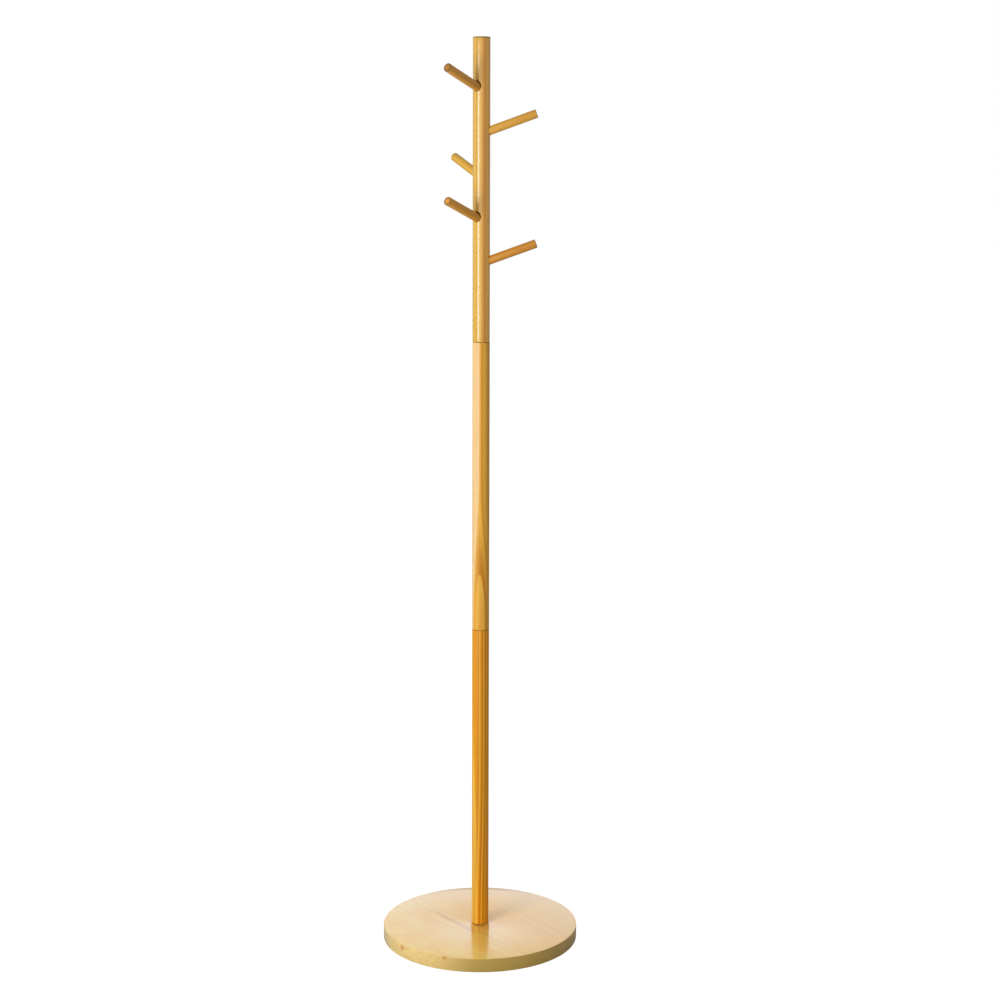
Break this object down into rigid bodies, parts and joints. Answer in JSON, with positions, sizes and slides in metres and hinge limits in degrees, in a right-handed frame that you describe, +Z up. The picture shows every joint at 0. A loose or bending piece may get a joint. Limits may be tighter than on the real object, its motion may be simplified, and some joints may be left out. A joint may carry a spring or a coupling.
{
  "type": "standing coat rack",
  "caption": "Free-standing wooden coat rack: round foot, slim pole of screwed lengths and slanting dowel pegs near the top.",
  "frame": {"origin": "on the pole's axis at floor level, under the felt pads", "axes": "+Z up along the pole, +X along the second peg from the top, -Y towards the front"},
  "size_m": [0.372, 0.372, 1.7],
  "materials": {
    "base_wood": "clear gloss lacquer over pale straight-grained softwood",
    "pole_wood": "clear satin lacquer over honey-coloured dowel",
    "peg_wood": "clear satin lacquer over honey-coloured dowel",
    "zinc_steel": "bright zinc plate",
    "brass": "plain turned brass",
    "felt": "dense brown needle felt"
  },
  "bodies": {
    "base": {"base_disc": "base_wood", "base_bolt": "zinc_steel", "base_washer": "zinc_steel", "foot_pad_1": "felt", "foot_pad_2": "felt", "foot_pad_3": "felt", "foot_pad_4": "felt", "foot_pad_5": "felt", "foot_pad_6": "felt"},
    "lower_nut": {"foot_insert": "brass"},
    "lower_length": {"lower_pole": "pole_wood", "lower_hanger_bolt": "zinc_steel"},
    "middle_nut": {"middle_insert": "brass"},
    "middle_length": {"middle_pole": "pole_wood", "middle_hanger_bolt": "zinc_steel"},
    "upper_nut": {"upper_insert": "brass"},
    "upper_length": {"upper_pole": "pole_wood"},
    "peg_1": {"peg_1": "peg_wood"},
    "peg_2": {"peg_2": "peg_wood"},
    "peg_3": {"peg_3": "peg_wood"},
    "peg_4": {"peg_4": "peg_wood"},
    "peg_5": {"peg_5": "peg_wood"}
  },
  "joints": [
    {"name": "lower_rise", "type": "slide", "parent": "base", "child": "lower_nut", "axis": [0, 0, 1], "range_m": [0, 0.0151]},
    {"name": "lower_unscrew", "type": "hinge", "parent": "lower_nut", "child": "lower_length", "pos_m": [0, 0, 0.028], "axis": [0, 0, 1], "range_deg": [0, 4320]},
    {"name": "middle_rise", "type": "slide", "parent": "lower_length", "child": "middle_nut", "axis": [0, 0, 1], "range_m": [0, 0.0151]},
    {"name": "middle_unscrew", "type": "hinge", "parent": "middle_nut", "child": "middle_length", "pos_m": [0, 0, 0.609], "axis": [0, 0, 1], "range_deg": [0, 4320]},
    {"name": "upper_rise", "type": "slide", "parent": "middle_length", "child": "upper_nut", "axis": [0, 0, 1], "range_m": [0, 0.0151]},
    {"name": "upper_unscrew", "type": "hinge", "parent": "upper_nut", "child": "upper_length", "pos_m": [0, 0, 1.151], "axis": [0, 0, 1], "range_deg": [0, 4320]},
    {"name": "peg_1_pull", "type": "slide", "parent": "upper_length", "child": "peg_1", "axis": [-0.5187, -0.7836, 0.342], "range_m": [0, 0.021]},
    {"name": "peg_2_pull", "type": "slide", "parent": "upper_length", "child": "peg_2", "axis": [0.9397, 0, 0.342], "range_m": [0, 0.021]},
    {"name": "peg_3_pull", "type": "slide", "parent": "upper_length", "child": "peg_3", "axis": [-0.5187, 0.7836, 0.342], "range_m": [0, 0.021]},
    {"name": "peg_4_pull", "type": "slide", "parent": "upper_length", "child": "peg_4", "axis": [-0.5187, -0.7836, 0.342], "range_m": [0, 0.021]},
    {"name": "peg_5_pull", "type": "slide", "parent": "upper_length", "child": "peg_5", "axis": [0.9397, 0, 0.342], "range_m": [0, 0.021]}
  ],
  "couplings": [
    {"joint": "lower_rise", "follows": "lower_unscrew", "m_per_rad": 0.00019894},
    {"joint": "middle_rise", "follows": "middle_unscrew", "m_per_rad": 0.00019894},
    {"joint": "upper_rise", "follows": "upper_unscrew", "m_per_rad": 0.00019894}
  ]
}
